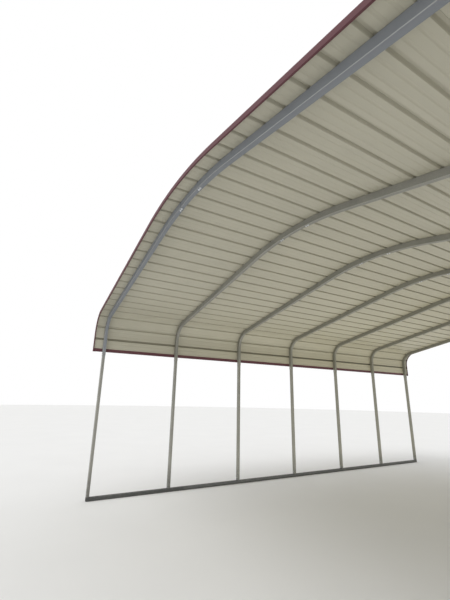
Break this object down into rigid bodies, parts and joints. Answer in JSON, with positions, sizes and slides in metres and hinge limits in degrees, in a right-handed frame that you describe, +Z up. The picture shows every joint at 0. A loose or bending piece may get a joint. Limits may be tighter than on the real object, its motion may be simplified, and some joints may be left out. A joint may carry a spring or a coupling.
{
  "type": "round-eave steel carport",
  "caption": "Open carport of galvanised tube bows on two base rails, under a ribbed steel roof that bends down over both eaves.",
  "frame": {"origin": "centre of the footprint, on the ground under the base rails", "axes": "+Z up, +Y from the front gable to the back gable, +X to the right side seen from the front gable"},
  "size_m": [7.4774, 9.4284, 3.7964],
  "materials": {
    "galvanised_steel": "galvanised, dull grey with faint spangle",
    "roof_paint": "pale grey-beige paint below, dark red paint above",
    "trim_paint": "dark red paint, low gloss"
  },
  "bodies": {
    "root": {"back_trim_left": "trim_paint", "back_trim_right": "trim_paint", "base_rail_left": "galvanised_steel", "base_rail_right": "galvanised_steel", "front_trim_left": "trim_paint", "front_trim_right": "trim_paint", "leg_left_1": "galvanised_steel", "leg_left_2": "galvanised_steel", "leg_left_3": "galvanised_steel", "leg_left_4": "galvanised_steel", "leg_left_5": "galvanised_steel", "leg_left_6": "galvanised_steel", "leg_left_7": "galvanised_steel", "leg_right_1": "galvanised_steel", "leg_right_2": "galvanised_steel", "leg_right_3": "galvanised_steel", "leg_right_4": "galvanised_steel", "leg_right_5": "galvanised_steel", "leg_right_6": "galvanised_steel", "leg_right_7": "galvanised_steel", "peak_bow_1": "galvanised_steel", "peak_bow_2": "galvanised_steel", "peak_bow_3": "galvanised_steel", "peak_bow_4": "galvanised_steel", "peak_bow_5": "galvanised_steel", "peak_bow_6": "galvanised_steel", "peak_bow_7": "galvanised_steel", "roof_sheet_1": "roof_paint", "roof_sheet_10": "roof_paint", "roof_sheet_2": "roof_paint", "roof_sheet_3": "roof_paint", "roof_sheet_4": "roof_paint", "roof_sheet_5": "roof_paint", "roof_sheet_6": "roof_paint", "roof_sheet_7": "roof_paint", "roof_sheet_8": "roof_paint", "roof_sheet_9": "roof_paint", "side_bow_left_1": "galvanised_steel", "side_bow_left_2": "galvanised_steel", "side_bow_left_3": "galvanised_steel", "side_bow_left_4": "galvanised_steel", "side_bow_left_5": "galvanised_steel", "side_bow_left_6": "galvanised_steel", "side_bow_left_7": "galvanised_steel", "side_bow_right_1": "galvanised_steel", "side_bow_right_2": "galvanised_steel", "side_bow_right_3": "galvanised_steel", "side_bow_right_4": "galvanised_steel", "side_bow_right_5": "galvanised_steel", "side_bow_right_6": "galvanised_steel", "side_bow_right_7": "galvanised_steel", "skirt_trim_left": "trim_paint", "skirt_trim_right": "trim_paint"}
  },
  "joints": []
}
